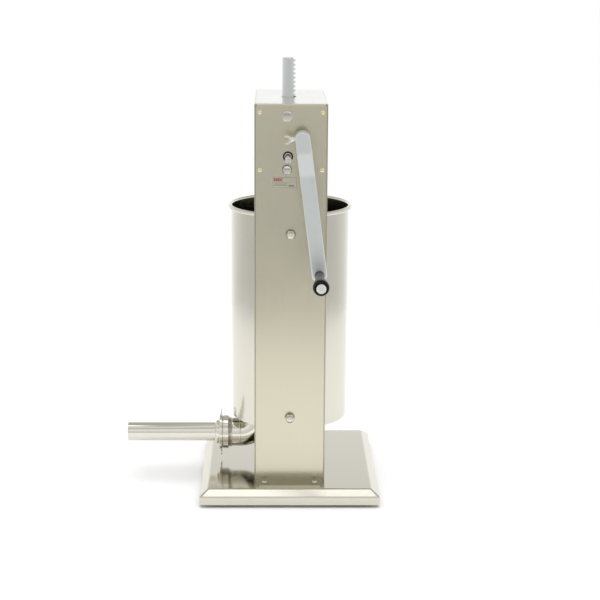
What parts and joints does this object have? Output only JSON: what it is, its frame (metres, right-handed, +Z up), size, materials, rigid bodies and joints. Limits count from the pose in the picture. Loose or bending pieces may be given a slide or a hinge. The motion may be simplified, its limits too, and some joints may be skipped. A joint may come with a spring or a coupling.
{
  "type": "sausage stuffer",
  "caption": "Upright hand-cranked sausage stuffer: folded steel column with gear head on a pan base, toothed piston bar, lift-out cylinder, bottom outlet elbow, ring nut and side nozzle.",
  "frame": {"origin": "on the bench, at the plane of the feet, under the centre of the base and of the cylinder", "axes": "+Z up; the crank, its shafts and the column face are on the -Y side; the nozzle points to -X; +Y runs from the column towards the cylinder"},
  "size_m": [0.431, 0.4357, 0.728],
  "materials": {
    "column_steel": "brushed stainless sheet, grain up the column, slightly warm",
    "base_steel": "fine brushed stainless sheet, almost mirror bright",
    "bracket_steel": "plain stainless strip",
    "cylinder_steel": "drawn stainless tube, satin, fine lines along its length",
    "polished_steel": "polished stainless",
    "small_fasteners": "zinc plated and stainless screws",
    "bright_fasteners": "bright stainless",
    "plated_steel": "zinc plated steel plate",
    "bronze": "sintered bronze",
    "nylon": "natural nylon block",
    "label": "thin printed foil plate, left blank",
    "shaft_steel": "ground steel",
    "gear_steel": "machined steel, light oil",
    "spring_steel": "spring steel",
    "rack_steel": "hard chromed bar with milled teeth",
    "piston_aluminium": "turned aluminium",
    "valve_plastic": "white plastic",
    "crank_steel": "cool plated flat bar",
    "hub_steel": "turned steel",
    "grip_black": "black moulded plastic",
    "rubber": "black rubber"
  },
  "bodies": {
    "frame": {"base_pan": "base_steel", "rubber_feet": "rubber", "feet_screws": "small_fasteners", "base_nuts": "small_fasteners", "column": "column_steel", "column_foot_screws": "small_fasteners", "head_floor": "column_steel", "rear_cover": "column_steel", "cover_screws": "small_fasteners", "gear_frame": "plated_steel", "gear_frame_screws": "small_fasteners", "gear_frame_nuts": "small_fasteners", "front_bearing_plate": "plated_steel", "upper_plate_bolt": "bright_fasteners", "lower_plate_bolt": "bright_fasteners", "lower_plate_washer": "bright_fasteners", "bridge_plate": "plated_steel", "bridge_pillars": "plated_steel", "bridge_screws": "small_fasteners", "front_bushes": "bronze", "rear_bushes": "bronze", "upper_rack_guide": "nylon", "lower_rack_guide": "nylon", "rack_guide_screws": "small_fasteners", "upper_saddle": "bracket_steel", "lower_bracket": "bracket_steel", "bracket_bolts": "bright_fasteners", "bracket_washers": "bright_fasteners", "acorn_nuts": "bright_fasteners", "label_plate": "label"},
    "fast_shaft": {"fast_shaft": "shaft_steel", "pinion": "gear_steel", "main_gear": "gear_steel", "fast_shaft_keys": "spring_steel", "fast_shaft_rings": "spring_steel"},
    "slow_shaft": {"slow_shaft": "shaft_steel", "slow_gear": "gear_steel", "slow_shaft_key": "spring_steel", "slow_shaft_rings": "spring_steel"},
    "piston": {"rack": "rack_steel", "piston_disc": "piston_aluminium", "piston_nut": "small_fasteners", "piston_seal": "rubber", "piston_clamp_disc": "piston_aluminium", "air_valve_spring": "spring_steel"},
    "air_valve": {"air_valve": "valve_plastic"},
    "crank": {"crank_hub": "hub_steel", "crank_arm": "crank_steel", "grip_axle": "bright_fasteners"},
    "grip": {"grip": "grip_black"},
    "wing_screw": {"wing_screw": "bright_fasteners"},
    "cylinder": {"cylinder_shell": "cylinder_steel", "cylinder_floor": "cylinder_steel", "outlet_elbow": "polished_steel", "threaded_spout": "polished_steel"},
    "nozzle": {"nozzle": "polished_steel", "nozzle_gasket": "rubber"},
    "ring_nut": {"ring_nut": "polished_steel"}
  },
  "joints": [
    {"name": "rack_slide", "type": "slide", "parent": "frame", "child": "piston", "axis": [0, 0, 1], "range_m": [-0.07, 0.315]},
    {"name": "fast_shaft_turn", "type": "hinge", "parent": "frame", "child": "fast_shaft", "pos_m": [0.0175, 0, 0.614], "axis": [0, 1, 0], "range_deg": [-357, 1605]},
    {"name": "slow_shaft_turn", "type": "hinge", "parent": "frame", "child": "slow_shaft", "pos_m": [-0.005, -0.083, 0.57973], "axis": [0, 1, 0], "range_deg": [-3879, 863]},
    {"name": "crank_pull", "type": "slide", "parent": "fast_shaft", "child": "crank", "axis": [0, -1, 0], "range_m": [0, 0.045]},
    {"name": "grip_spin", "type": "hinge", "parent": "crank", "child": "grip", "pos_m": [0.04538, -0.22, 0.3993], "axis": [0, -1, 0], "continuous": true},
    {"name": "wing_screw_turn", "type": "hinge", "parent": "crank", "child": "wing_screw", "pos_m": [0.0175, -0.1445, 0.614], "axis": [-0.9917, 0, -0.1288], "range_deg": [0, 720]},
    {"name": "cylinder_lift", "type": "slide", "parent": "frame", "child": "cylinder", "axis": [0, 0, 1], "range_m": [0, 0.01]},
    {"name": "nozzle_pull", "type": "slide", "parent": "cylinder", "child": "nozzle", "axis": [-1, 0, 0], "range_m": [0, 0.06]},
    {"name": "ring_nut_turn", "type": "hinge", "parent": "nozzle", "child": "ring_nut", "pos_m": [-0.112, 0, 0.078], "axis": [-1, 0, 0], "continuous": true},
    {"name": "air_valve_lift", "type": "slide", "parent": "piston", "child": "air_valve", "axis": [0, 0, 1], "range_m": [0, 0.004], "stiffness_N_per_m": 600, "springref_m": -0.003, "deforming": ["air_valve_spring"]}
  ],
  "couplings": [
    {"joint": "fast_shaft_turn", "follows": "rack_slide", "rad_per_m": 88.889},
    {"joint": "slow_shaft_turn", "follows": "rack_slide", "rad_per_m": -214.81}
  ]
}
